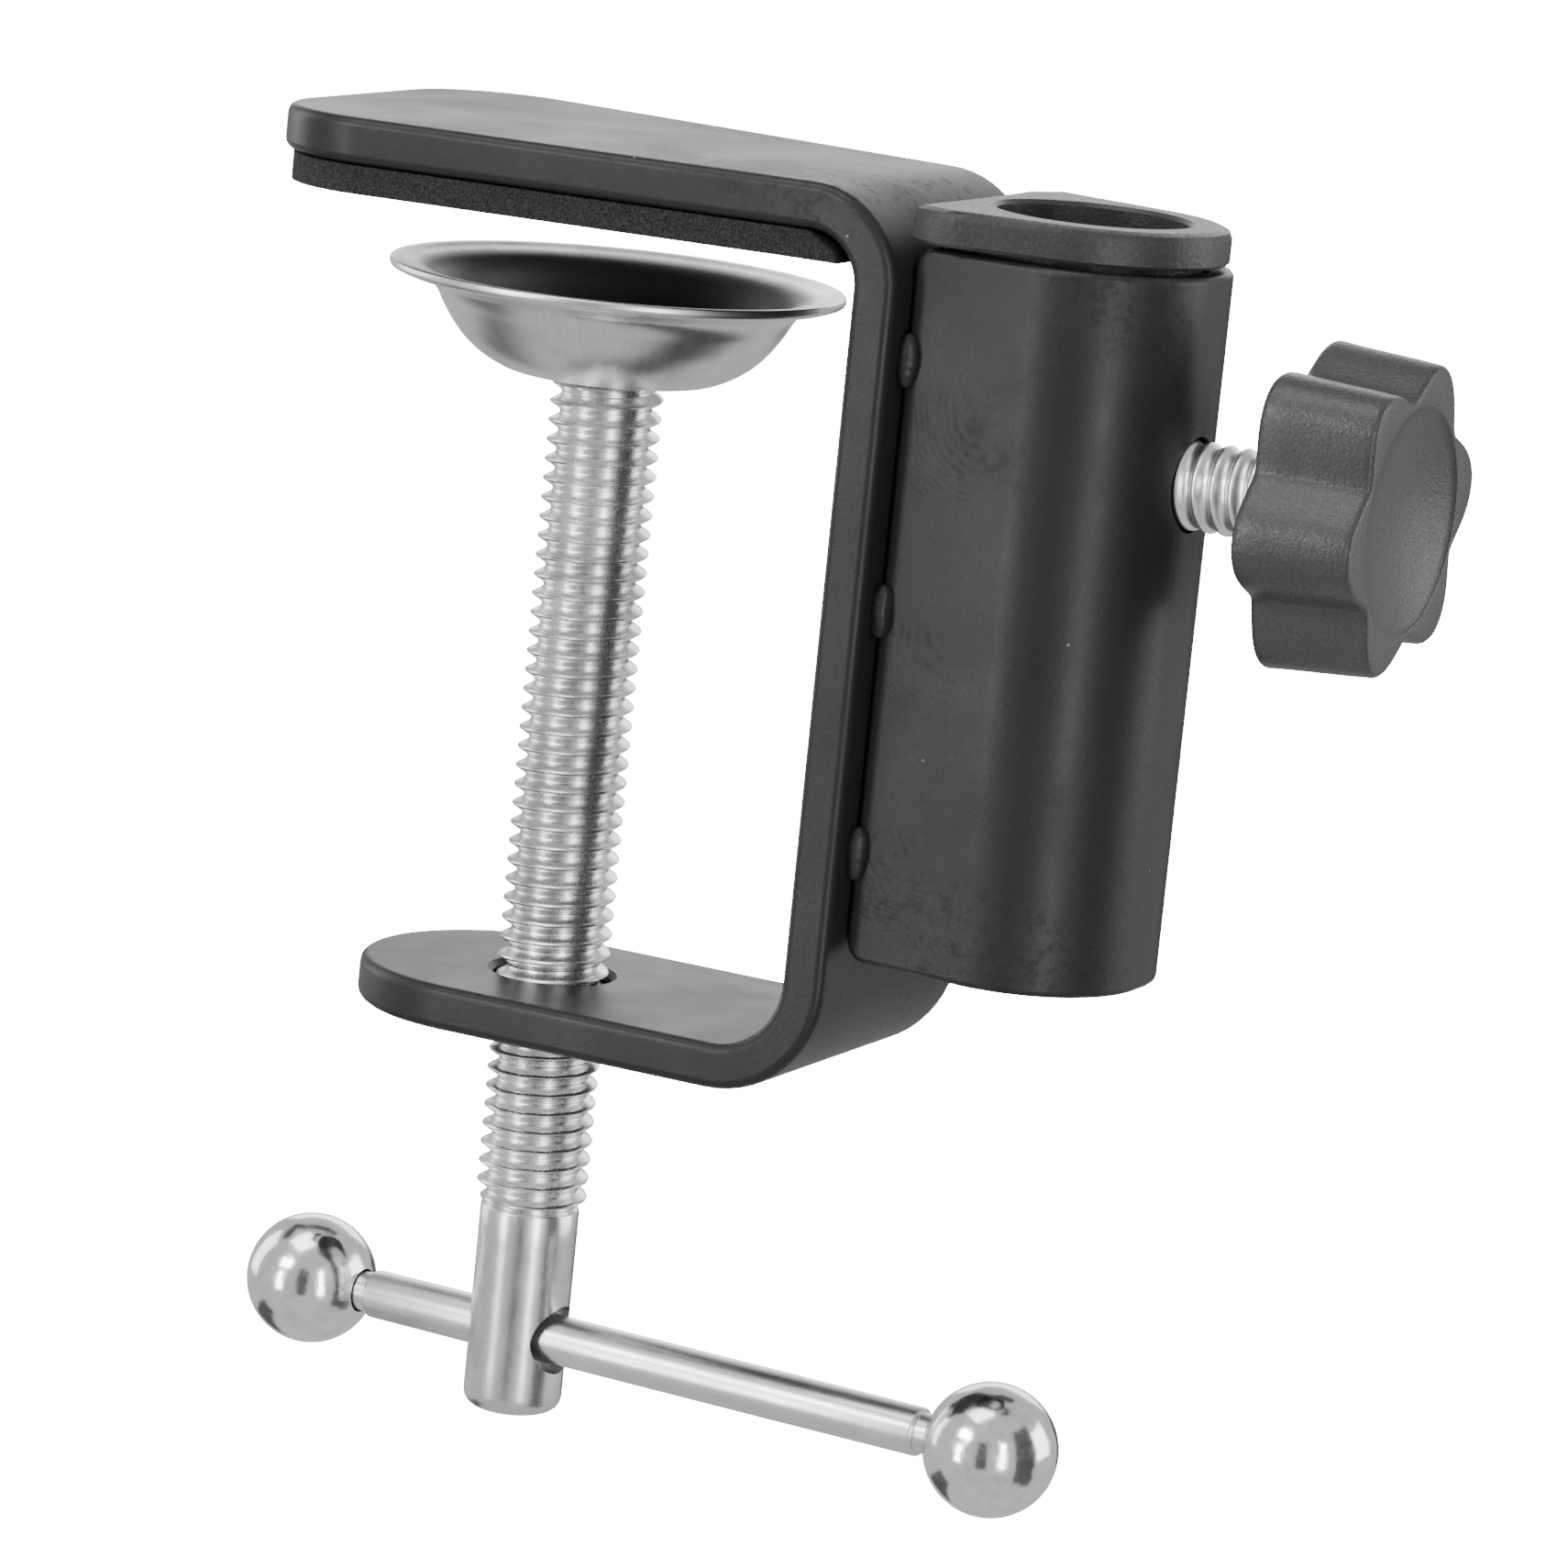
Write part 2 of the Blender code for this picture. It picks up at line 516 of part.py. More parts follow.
# ------------------------------------------------------------------------------------------ T handle
def make_handle():
    shoulder_right = BALL_RIGHT - BALL_R - 0.75
    shoulder_left = BALL_LEFT + BALL_R + 0.75
    centre = (0.0, 0.0, BAR_Z)
    turned("handle_bar", [
        (0, BALL_LEFT), (NECK_R - 0.3, BALL_LEFT), (NECK_R, BALL_LEFT + 0.3), (NECK_R, shoulder_left),
        (BAR_R - 0.15, shoulder_left), (BAR_R, shoulder_left + 0.3), (BAR_R, shoulder_right - 0.3),
        (BAR_R - 0.15, shoulder_right), (NECK_R, shoulder_right), (NECK_R, BALL_RIGHT - 0.3),
        (NECK_R - 0.3, BALL_RIGHT), (0, BALL_RIGHT)],
        material("bar_steel", (0.66, 0.66, 0.66), 0.2, 1.0), axis="X", centre=centre, segments=24,
        yaw=BAR_YAW)
    for name, middle, sign in (("handle_ball_left", BALL_LEFT, 1), ("handle_ball_right", BALL_RIGHT, -1)):
        hole = NECK_R + 0.2
        mouth = math.degrees(math.asin(hole / BALL_R))
        profile = [(hole, middle + sign * -0.4)]
        profile += [(r, middle + sign * h) for h, r in arc((0, 0), BALL_R, mouth, 180, 13)]
        profile[-1] = (0, middle - sign * BALL_R)
        profile.append((0, middle + sign * -0.4))
        turned(name, profile, material(name + "_chrome", (0.78, 0.78, 0.78), 0.06, 1.0), axis="X",
               centre=centre, segments=26, yaw=BAR_YAW)


make_frame()
make_pad()
make_shell()
make_liner()
make_welds()
make_lock_screw()
make_spindle()
make_handle()
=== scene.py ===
"""Looks of the table clamp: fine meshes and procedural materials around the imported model.

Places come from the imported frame. Lengths given here are millimetres, and MM turns them into metres.
"""

import json
import math

import bmesh
import bpy
import numpy as np
from mathutils import Matrix, Vector


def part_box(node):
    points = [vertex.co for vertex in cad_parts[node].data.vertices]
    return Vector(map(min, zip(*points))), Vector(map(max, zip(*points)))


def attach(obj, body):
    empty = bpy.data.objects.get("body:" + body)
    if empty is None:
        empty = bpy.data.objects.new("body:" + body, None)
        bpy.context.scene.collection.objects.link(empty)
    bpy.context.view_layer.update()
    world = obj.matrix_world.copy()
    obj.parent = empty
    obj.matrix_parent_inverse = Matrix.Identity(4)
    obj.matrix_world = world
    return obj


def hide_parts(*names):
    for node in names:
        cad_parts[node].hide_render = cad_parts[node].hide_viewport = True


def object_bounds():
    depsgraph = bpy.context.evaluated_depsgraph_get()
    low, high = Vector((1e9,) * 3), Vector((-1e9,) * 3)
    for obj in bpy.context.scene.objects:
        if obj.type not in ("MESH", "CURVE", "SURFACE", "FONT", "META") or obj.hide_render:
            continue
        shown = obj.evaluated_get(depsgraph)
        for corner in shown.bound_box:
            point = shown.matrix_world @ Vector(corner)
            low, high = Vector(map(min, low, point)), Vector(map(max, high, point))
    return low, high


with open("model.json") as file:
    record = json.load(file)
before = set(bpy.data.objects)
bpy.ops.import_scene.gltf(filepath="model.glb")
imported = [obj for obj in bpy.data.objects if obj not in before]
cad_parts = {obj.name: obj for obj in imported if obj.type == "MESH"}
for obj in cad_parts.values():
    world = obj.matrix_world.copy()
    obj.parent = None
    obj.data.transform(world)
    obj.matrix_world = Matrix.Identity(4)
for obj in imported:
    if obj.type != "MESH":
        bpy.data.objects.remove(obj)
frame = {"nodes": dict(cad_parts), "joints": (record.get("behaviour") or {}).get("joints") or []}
cad_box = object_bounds()

MM = 0.001
AXIS_X = Matrix(((0, 0, 1), (1, 0, 0), (0, 1, 0)))     # turns a piece made about Z onto the X axis
UPRIGHT = Matrix.Identity(3)


# ---------------------------------------------------------------------------------------- camera
CAMERA_SPOT = (296.72, -565.01, 73.37)
CAMERA_AZIMUTH = math.radians(26.015)
CAMERA_ELEVATION = math.radians(10.889)
CAMERA_ROLL = math.radians(5.767)
CAMERA_LENS = 168.435
CAMERA_SENSOR = 36.0


def make_camera():
    az, el = CAMERA_AZIMUTH, CAMERA_ELEVATION
    ahead = Vector((-math.sin(az) * math.cos(el), math.cos(az) * math.cos(el), -math.sin(el)))
    level = Vector((math.cos(az), math.sin(az), 0.0))
    right = math.cos(CAMERA_ROLL) * level + math.sin(CAMERA_ROLL) * level.cross(ahead)
    up = right.cross(ahead)
    data = bpy.data.cameras.new("camera")
    data.lens = CAMERA_LENS
    data.sensor_width = CAMERA_SENSOR
    data.clip_start = 0.01
    camera = bpy.data.objects.new("camera", data)
    camera.matrix_world = Matrix.LocRotScale(
        Vector(CAMERA_SPOT) * MM, Matrix((right, up, -ahead)).transposed().to_quaternion(), None)
    bpy.context.scene.collection.objects.link(camera)
    bpy.context.scene.camera = camera


# ---------------------------------------------------------------------------------------- node helpers
def node(tree, kind, sockets=None, **settings):
    """Adds a shader node; `sockets` maps input names or numbers to values or to other nodes' outputs."""
    made = tree.nodes.new("ShaderNode" + kind)
    for key, value in settings.items():
        setattr(made, key, value)
    for key, value in (sockets or {}).items():
        if isinstance(value, bpy.types.NodeSocket):
            tree.links.new(value, made.inputs[key])
        else:
            made.inputs[key].default_value = value
    return made


def noise(tree, place, per_mm, detail=3.0, rough=0.5, distortion=0.0):
    """Noise value from 0 to 1, with `per_mm` features to the millimetre."""
    return node(tree, "TexNoise", {"Vector": place, "Scale": per_mm / MM, "Detail": detail,
                                   "Roughness": rough, "Distortion": distortion}).outputs["Fac"]


def remap(tree, value, low, high, to_low=0.0, to_high=1.0, smooth=False):
    """Maps low..high to to_low..to_high, clamped at both ends."""
    kind = "SMOOTHSTEP" if smooth else "LINEAR"
    return node(tree, "MapRange", {"Value": value, "From Min": low, "From Max": high, "To Min": to_low,
                                   "To Max": to_high}, interpolation_type=kind).outputs["Result"]


def calc(tree, operation, *values):
    """Math node on numbers or sockets."""
    return node(tree, "Math", dict(enumerate(values)), operation=operation).outputs["Value"]


def vector_calc(tree, operation, output, *values):
    """Vector math node; `output` is its "Vector" or "Value" socket."""
    return node(tree, "VectorMath", dict(enumerate(values)), operation=operation).outputs[output]


def blend_colour(tree, share, low, high):
    """Mixes two colours; each is a grey level or a socket."""
    made = node(tree, "Mix", {"Factor": share}, data_type="RGBA")
    for index, colour in ((6, low), (7, high)):
        if isinstance(colour, bpy.types.NodeSocket):
            tree.links.new(colour, made.inputs[index])
        else:
            made.inputs[index].default_value = (colour, colour, colour, 1.0)
    return made.outputs[2]


def bump(tree, height, depth, normal=None):
    """Bump of `depth` millimetres, on top of `normal`."""
    sockets = {"Height": height, "Distance": depth * MM}
    if normal is not None:
        sockets["Normal"] = normal
    return node(tree, "Bump", sockets).outputs["Normal"]


def new_material(name, roughness, metallic=0.0, **uniform):
    """Principled material; `uniform` sets sockets that are the same all over the surface."""
    mat = bpy.data.materials.new(name)
    mat.use_nodes = True
    tree = mat.node_tree
    shader = tree.nodes["Principled BSDF"]
    shader.inputs["Roughness"].default_value = roughness
    shader.inputs["Metallic"].default_value = metallic
    for key, value in uniform.items():
        shader.inputs[key.replace("_", " ")].default_value = value
    place = node(tree, "TexCoord").outputs["Object"]
    return mat, tree, shader, place


def plug(tree, shader, **sockets):
    """Links outputs to the shader's inputs of the same names."""
    for key, value in sockets.items():
        tree.links.new(value, shader.inputs[key.replace("_", " ")])


def round_place(tree, place, centre, turns_per_radian, per_mm):
    """Coordinates that run round an upright axis and along it, without a seam."""
    local = vector_calc(tree, "SUBTRACT", "Vector", place, centre)
    flat = vector_calc(tree, "MULTIPLY", "Vector", local, (1.0, 1.0, 0.0))
    unit = vector_calc(tree, "NORMALIZE", "Vector", flat)
    around = vector_calc(tree, "MULTIPLY", "Vector", unit, (turns_per_radian, turns_per_radian, 0.0))
    along = vector_calc(tree, "MULTIPLY", "Vector", local, (0.0, 0.0, per_mm / MM))
    return vector_calc(tree, "ADD", "Vector", around, along)


# ---------------------------------------------------------------------------------------- materials
def edge_mask(tree, radius, low, high):
    """1 on the part's convex and concave edges, from how far a rounded normal leans away."""
    soft = node(tree, "Bevel", {"Radius": radius * MM}, samples=6).outputs["Normal"]
    true = node(tree, "NewGeometry").outputs["Normal"]
    agreement = vector_calc(tree, "DOT_PRODUCT", "Value", soft, true)
    return remap(tree, agreement, high, low)


def black_coat(name, level, worn, prints=()):
    """Satin black powder coat: orange peel, dull rub marks, dust specks, a painted highlight along all its
    edges, and chips on them.

    `level` is the coat's grey, `worn` says how bright and common the chips are, and `prints` lists the
    (centre, radius) of finger prints in millimetres.
    """
    mat, tree, shader, place = new_material(name, 0.4, IOR=1.36)
    cloud = noise(tree, place, 0.06, 4.0)
    base = blend_colour(tree, cloud, level * 0.8, level * 1.3)

    rub = noise(tree, place, 0.9, 6.0, 0.72)
    zone = remap(tree, noise(tree, place, 0.055, 2.0), 0.54, 0.68, smooth=True)
    scuff = calc(tree, "MULTIPLY", remap(tree, rub, 0.5, 0.62), zone)
    base = blend_colour(tree, calc(tree, "MULTIPLY", scuff, 0.6), base, level * 0.3)

    cells = node(tree, "TexVoronoi", {"Vector": place, "Scale": 0.35 / MM})
    draw = node(tree, "SeparateColor", {"Color": cells.outputs["Color"]}).outputs[0]
    chosen = remap(tree, draw, 0.72, 0.74)
    dot = remap(tree, cells.outputs["Distance"], 0.03, 0.05, 1.0, 0.0)
    dust = calc(tree, "MULTIPLY", dot, chosen)
    base = blend_colour(tree, calc(tree, "MULTIPLY", dust, 0.6), base, 0.3)

    edge = edge_mask(tree, 0.55, 0.86, 0.97)
    chips = remap(tree, noise(tree, place, 0.8, 5.0, 0.65), 0.66 - 0.05 * worn, 0.7)
    sparse = remap(tree, noise(tree, place, 0.12, 1.0), 0.5, 0.6)
    chip = calc(tree, "MULTIPLY", calc(tree, "MULTIPLY", edge, chips), sparse)
    # painted highlight: all edges, convex and concave, are made paler all along, as light caught on the
    # rounded edges; the chips below are real wear
    base = blend_colour(tree, calc(tree, "MULTIPLY", edge, 0.6), base, level * 3.4)
    base = blend_colour(tree, calc(tree, "MULTIPLY", chip, worn), base, 0.45)

    smear = noise(tree, place, 0.045, 3.0, 0.6, 0.8)
    rough = remap(tree, smear, 0.35, 0.7, 0.35, 0.46)
    rough = calc(tree, "ADD", rough, calc(tree, "MULTIPLY", scuff, 0.1))
    for spot, size in prints:
        away = vector_calc(tree, "DISTANCE", "Value", place, tuple(c * MM for c in spot))
        loop = vector_calc(tree, "DISTANCE", "Value", place, tuple((c + size * 0.7) * MM for c in spot))
        bent = calc(tree, "ADD", loop, calc(tree, "MULTIPLY", noise(tree, place, 0.15, 1.0), 3.5 * MM))
        ripple = remap(tree, calc(tree, "SINE", calc(tree, "MULTIPLY", bent, 12.5 / MM)), -0.6, 0.8)
        inside = remap(tree, away, size * 0.55 * MM, size * MM, 1.0, 0.0, smooth=True)
        broken = remap(tree, noise(tree, place, 0.45, 4.0, 0.65), 0.44, 0.58)
        ridge = calc(tree, "MULTIPLY", calc(tree, "MULTIPLY", ripple, inside), broken)
        base = blend_colour(tree, calc(tree, "MULTIPLY", ridge, 0.28), base, level * 0.3)
        rough = calc(tree, "ADD", rough, calc(tree, "MULTIPLY", ridge, 0.08))

    relief = bump(tree, noise(tree, place, 0.35, 2.0), 0.02)
    relief = bump(tree, noise(tree, place, 2.2, 3.0, 0.6), 0.016, relief)
    plug(tree, shader, Base_Color=base, Roughness=rough, Normal=relief)
    return mat


PLASTIC_GRAIN = 3.0            # grains to the millimetre


def moulded_plastic(name, level, roughness, depth=0.012):
    """Moulded plastic: spark-eroded grain `depth` millimetres deep, with pale specks painted as glints on the
    grain and a painted highlight along its edges.
    """
    mat, tree, shader, place = new_material(name, roughness, IOR=1.42)
    cloud = noise(tree, place, 0.12, 4.0)
    base = blend_colour(tree, cloud, level * 0.85, level * 1.15)
    # painted glints: pale specks in the colour stand for highlights on the grain
    painted_glint_specks = remap(tree, noise(tree, place, PLASTIC_GRAIN * 1.4, 3.0, 0.75), 0.5, 0.75)
    base = blend_colour(tree, calc(tree, "MULTIPLY", painted_glint_specks, 0.35), base, level * 3.0)
    # painted highlight: the edges are made paler all along, as light caught on their rounding
    edge = edge_mask(tree, 0.35, 0.85, 0.97)
    base = blend_colour(tree, calc(tree, "MULTIPLY", edge, 0.3), base, level * 2.4)
    grain = noise(tree, place, PLASTIC_GRAIN, 3.0, 0.6)
    rough = remap(tree, grain, 0.3, 0.7, roughness - 0.08, roughness + 0.1)
    relief = bump(tree, grain, depth)
    plug(tree, shader, Base_Color=base, Roughness=rough, Normal=relief)
    return mat


def foam(name):
    """Closed-cell foam: cut cells make a dark, grainy, matt skin."""
    mat, tree, shader, place = new_material(name, 0.95, IOR=1.4)
    cells = node(tree, "TexVoronoi", {"Vector": place, "Scale": 2.6 / MM}).outputs["Distance"]
    grit = noise(tree, place, 5.0, 3.0, 0.7)
    base = blend_colour(tree, remap(tree, grit, 0.38, 0.68), 0.006, 0.05)
    base = blend_colour(tree, remap(tree, cells, 0.1, 0.5, 0.6, 0.0), base, 0.01)
    relief = bump(tree, cells, 0.1)
    relief = bump(tree, grit, 0.08, relief)
    plug(tree, shader, Base_Color=base, Normal=relief)
    return mat


def bright_steel(name, level, roughness, streaks=None, stain=0.25, grain=0.0015, wave=0.02, painted_shade_and_rough=None):
    """Zinc-plated or drawn steel.

    `streaks` makes the coordinates for fine lines, or is None for a plain finish. `stain` is how much darker
    the stains are, `grain` and `wave` are the depths of the fine and the slow relief in millimetres, and
    `painted_shade_and_rough` makes a mask of where the metal gets painted shade and more roughness.
    """
    mat, tree, shader, place = new_material(name, roughness, 1.0)
    if streaks is None:
        lines = noise(tree, place, 1.3, 4.0, 0.6)
    else:
        lines = node(tree, "TexNoise", {"Vector": streaks(tree, place), "Scale": 1.0, "Detail": 4.0,
                                        "Roughness": 0.6}).outputs["Fac"]
    cloud = noise(tree, place, 0.14, 4.0, 0.6)
    base = blend_colour(tree, remap(tree, cloud, 0.35, 0.68), level, level * (1.0 - stain))
    base = blend_colour(tree, remap(tree, lines, 0.5, 0.78, 0.0, 0.3), base, level * 0.6)
    base = blend_colour(tree, remap(tree, lines, 0.5, 0.26, 0.0, 0.3), base, min(level * 1.2, 0.95))
    rough = remap(tree, lines, 0.25, 0.75, roughness - 0.04, roughness + 0.06)
    if painted_shade_and_rough is not None:
        painted_shade_and_rough_share = painted_shade_and_rough(tree, place)
        # painted shade: where the mask is 1 the colour is darkened; the roughness is raised there too
        base = blend_colour(tree, painted_shade_and_rough_share, base, level * 0.2)
        rough = calc(tree, "ADD", rough, calc(tree, "MULTIPLY", painted_shade_and_rough_share, 0.22))
    relief = bump(tree, noise(tree, place, 0.22, 2.0), wave)
    relief = bump(tree, lines, grain, relief)
    relief = bump(tree, noise(tree, place, 3.5, 2.0), grain, relief)
    plug(tree, shader, Base_Color=base, Roughness=rough, Normal=relief)
    return mat


def chrome(name):
    """Polished ball: mirror bright, with a faint ripple and a few dull spots."""
    mat, tree, shader, place = new_material(name, 0.16, 1.0)
    cloud = noise(tree, place, 0.5, 4.0, 0.65)
    base = blend_colour(tree, remap(tree, cloud, 0.42, 0.75), 0.97, 0.72)
    rough = remap(tree, noise(tree, place, 0.9, 4.0, 0.6), 0.35, 0.75, 0.12, 0.24)
    relief = bump(tree, noise(tree, place, 0.3, 3.0), 0.06)
    relief = bump(tree, noise(tree, place, 3.0, 3.0, 0.6), 0.006, relief)
    plug(tree, shader, Base_Color=base, Roughness=rough, Normal=relief)
    return mat


# ---------------------------------------------------------------------------------------- mesh helpers
JOIN = 2e-6                    # corners of a CAD node closer than this are one


def finished(name, points, faces, body, mat, hides, sharp=38.0, weighted=True):
    """Makes the mesh, shades it, ties it to its body, and hides the CAD nodes it stands for."""
    mesh = bpy.data.meshes.new(name)
    mesh.from_pydata([tuple(p) for p in points], [], faces)
    bm = bmesh.new()
    bm.from_mesh(mesh)
    bmesh.ops.remove_doubles(bm, verts=bm.verts, dist=1e-7)
    bmesh.ops.recalc_face_normals(bm, faces=bm.faces)
    bm.to_mesh(mesh)
    bm.free()
    mesh.materials.append(mat)
    mesh.shade_smooth()
    mesh.set_sharp_from_angle(angle=math.radians(sharp))
    obj = bpy.data.objects.new(name, mesh)
    bpy.context.scene.collection.objects.link(obj)
    if weighted:
        normals = obj.modifiers.new("face_weighted", "WEIGHTED_NORMAL")
        normals.keep_sharp = True
        normals.weight = 80
    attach(obj, body)
    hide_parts(*hides)
    return obj


def welded(cad_node):
    """bmesh of a CAD node with its split corners joined."""
    bm = bmesh.new()
    bm.from_mesh(frame["nodes"][cad_node].data)
    bmesh.ops.remove_doubles(bm, verts=bm.verts, dist=JOIN)
    return bm


def refined(name, cad_node, body, mat, sharp=38.0):
    """The CAD node's own shape with merged facets and smooth shading."""
    bm = welded(cad_node)
    bmesh.ops.dissolve_limit(bm, angle_limit=math.radians(0.3), verts=bm.verts, edges=bm.edges)
    points = [v.co.copy() for v in bm.verts]
    faces = [[v.index for v in f.verts] for f in bm.faces]
    bm.free()
    return finished(name, points, faces, body, mat, (cad_node,), sharp)


def outline_of(cad_node, centre, turn):
    """(radius, height) outline of a turned CAD node, in order, and whether it closes on itself."""
    bm = welded(cad_node)
    back = turn.transposed()
    local = {v: back @ (v.co - Vector(centre)) for v in bm.verts}
    on_section = {v for v, p in local.items()
                  if math.hypot(p.x, p.y) < JOIN or (p.x > 0 and abs(p.y) < JOIN)}
    follow = {v: [e.other_vert(v) for e in v.link_edges if e.other_vert(v) in on_section]
              for v in on_section}
    ends = [v for v in on_section if len(follow[v]) == 1]
    walk = [min(ends, key=lambda v: local[v].z) if ends else min(on_section, key=lambda v: local[v].x)]
    while True:
        ahead = [v for v in follow[walk[-1]] if v not in walk]
        if not ahead:
            break
        walk.append(ahead[0])
    outline = [(math.hypot(local[v].x, local[v].y), local[v].z) for v in walk]
    bm.free()
    return outline, not ends


def softened(outline, closed, fillet=0.12, corner=35.0, steps=4):
    """Rounds an outline's corners and runs smooth curves through its gentle bends."""
    pts = [Vector(p) for p in outline]
    count = len(pts)
    is_corner, fixed_end = [], []
    for i, p in enumerate(pts):
        edge_point = not closed and i in (0, count - 1)
        before, after = p - pts[i - 1], pts[(i + 1) % count] - p
        fixed_end.append(edge_point)
        is_corner.append(edge_point or before.angle(after, 0.0) > math.radians(corner))
    smooth = []
    for i in range(count if closed else count - 1):
        k = (i + 1) % count
        a, b = pts[i], pts[k]
        span = b - a
        cut_a = 0.0 if fixed_end[i] or not is_corner[i] else min(fillet * MM, span.length * 0.4)
        cut_b = 0.0 if fixed_end[k] or not is_corner[k] else min(fillet * MM, span.length * 0.4)
        start, end = a + span.normalized() * cut_a, b - span.normalized() * cut_b
        length = (end - start).length
        lean_a = span if is_corner[i] else pts[k] - pts[i - 1]
        lean_b = span if is_corner[k] else pts[(k + 1) % count] - a
        lean_a, lean_b = lean_a.normalized() * length, lean_b.normalized() * length
        straight = is_corner[i] and is_corner[k]
        for s in ((0.0, 1.0) if straight else [j / steps for j in range(steps + 1)]):
            h = (2 * s**3 - 3 * s**2 + 1, s**3 - 2 * s**2 + s, 3 * s**2 - 2 * s**3, s**3 - s**2)
            smooth.append(h[0] * start + h[1] * lean_a + h[2] * end + h[3] * lean_b)
        if is_corner[k] and not fixed_end[k]:
            onward = pts[(k + 1) % count] - b
            far = b + onward.normalized() * min(fillet * MM, onward.length * 0.4)
            for s in (0.25, 0.5, 0.75):
                smooth.append((1 - s)**2 * end + 2 * s * (1 - s) * b + s * s * far)
    kept = [smooth[0]]
    for p in smooth[1:]:
        if (p - kept[-1]).length > 1e-7:
            kept.append(p)
    if closed and (kept[0] - kept[-1]).length < 1e-7:
        kept.pop()
    return [(max(p.x, 0.0), p.y) for p in kept]


def spin_rings(outline, segments, closed=False):
    """Points and faces of a (radius, height) outline turned about Z; a radius of 0 makes a single point."""
    points, faces, rings = [], [], []
    for radius, height in outline:
        count = 1 if radius < 1e-7 else segments
        rings.append(range(len(points), len(points) + count))
        for j in range(count):
            a = 2 * math.pi * j / segments
            points.append((radius * math.cos(a), radius * math.sin(a), height))
    for low, high in zip(rings, rings[1:] + rings[:1] if closed else rings[1:]):
        for j in range(segments):
            k = (j + 1) % segments
            if len(low) == 1:
                faces.append((low[0], high[k], high[j]))
            elif len(high) == 1:
                faces.append((low[j], low[k], high[0]))
            else:
                faces.append((low[j], low[k], high[k], high[j]))
    return points, faces


def spin(outline, closed, centre, turn, segments):
    """Points and faces of a turned outline, with its axis turned by `turn` and moved to `centre`."""
    points, faces = spin_rings(outline, segments, closed)
    return [turn @ Vector(p) + Vector(centre) for p in points], faces


def respun(name, cad_node, centre, turn, segments, body, mat, sharp=38.0):
    """A turned CAD node made again with a smooth outline and many more sides."""
    outline, closed = outline_of(cad_node, centre, turn)
    points, faces = spin(softened(outline, closed), closed, centre, turn, segments)
    return finished(name, points, faces, body, mat, (cad_node,), sharp, weighted=False)


def tube_faces(rings, size):
    """Quads between `rings` closed rings of `size` points, with the first and last ring capped."""
    faces = []
    for i in range(rings - 1):
        for j in range(size):
            k = (j + 1) % size
            faces.append((i * size + j, i * size + k, (i + 1) * size + k, (i + 1) * size + j))
    faces.append(list(range(size)))
    faces.append([(rings - 1) * size + j for j in reversed(range(size))])
    return faces


# ---------------------------------------------------------------------------------------- threads
THREAD_ROWS = 14               # mesh rows in one turn of thread
THREAD_SIDES = 96
SPINDLE_PITCH = 1.72 * MM
STUD_PITCH = 1.68 * MM


def thread_share(phase, sharpness):
    """Height of the thread from root (0) to crest (1): a V with a flat valley, round at sharpness 0."""
    triangle = 1.0 - abs(2.0 * phase - 1.0)
    ridge = min(max((triangle - 0.16) / 0.78, 0.0), 1.0)
    wave = 0.5 - 0.5 * math.cos(math.pi * ridge)
    return wave + (ridge - wave) * sharpness


def threaded(low_rings, high_rings, low, high, crest, root, pitch, fade, sharpness, centre, turn):
    """Points and faces of a rod: rings up to `low`, a real helical thread up to `high`, then more rings.

    Row i of the grid keeps one place on the thread form all the way round, so its column j sits j / sides of
    a pitch higher, and one turn on it meets row i + THREAD_ROWS. Rows that would pass an end are laid flat in
    that end's plane, at the root radius, where they merge with the ring there. `fade` is the run-out at
    either end.
    """
    sides, rows = THREAD_SIDES, THREAD_ROWS
    last = math.ceil((high - low) / pitch * rows) + rows + 1
    points, faces = spin_rings(low_rings + [(root, low)], sides)
    first = len(points)
    for i in range(-rows, last + 1):
        share = thread_share(i % rows / rows, sharpness)
        for j in range(sides):
            a = 2 * math.pi * j / sides
            z = min(max(low + (i / rows + j / sides) * pitch, low), high)
            run_out = min((z - low) / fade[0], 1.0) * min((high - z) / fade[1], 1.0)
            radius = root + (crest - root) * share * run_out
            points.append((radius * math.cos(a), radius * math.sin(a), z))

    def at(i, j):
        return first + (i + rows) * sides + j

    for i in range(-rows, last):
        for j in range(sides - 1):
            faces.append((at(i, j), at(i, j + 1), at(i + 1, j + 1), at(i + 1, j)))
        if i + rows + 1 <= last:
            faces.append((at(i, sides - 1), at(i + rows, 0), at(i + rows + 1, 0), at(i + 1, sides - 1)))
    above, above_faces = spin_rings([(root, high)] + high_rings, sides)
    faces += [[index + len(points) for index in face] for face in above_faces]
    points += above
    return [turn @ Vector(p) + Vector(centre) for p in points], faces


def cut_away(obj, points, faces):
    """Takes a closed cutter shape out of the piece and applies the result."""
    mesh = bpy.data.meshes.new("cutter")
    mesh.from_pydata([tuple(p) for p in points], [], faces)
    cutter = bpy.data.objects.new("cutter", mesh)
    bpy.context.scene.collection.objects.link(cutter)
    mod = obj.modifiers.new("cut", "BOOLEAN")
    mod.operation = "DIFFERENCE"
    mod.solver = "EXACT"
    mod.object = cutter
    bpy.context.view_layer.update()
    result = bpy.data.meshes.new_from_object(obj.evaluated_get(bpy.context.evaluated_depsgraph_get()))
    obj.modifiers.clear()
    obj.data = result
    bpy.data.objects.remove(cutter, do_unlink=True)


# ---------------------------------------------------------------------------------------- pieces
THREAD_SHARP = 50.0            # degrees; steeper folds than this stay sharp on the screws


def joint_axis(name):
    """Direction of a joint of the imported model."""
    return next(Vector(j["axis"]) for j in frame["joints"] if j["name"] == name)


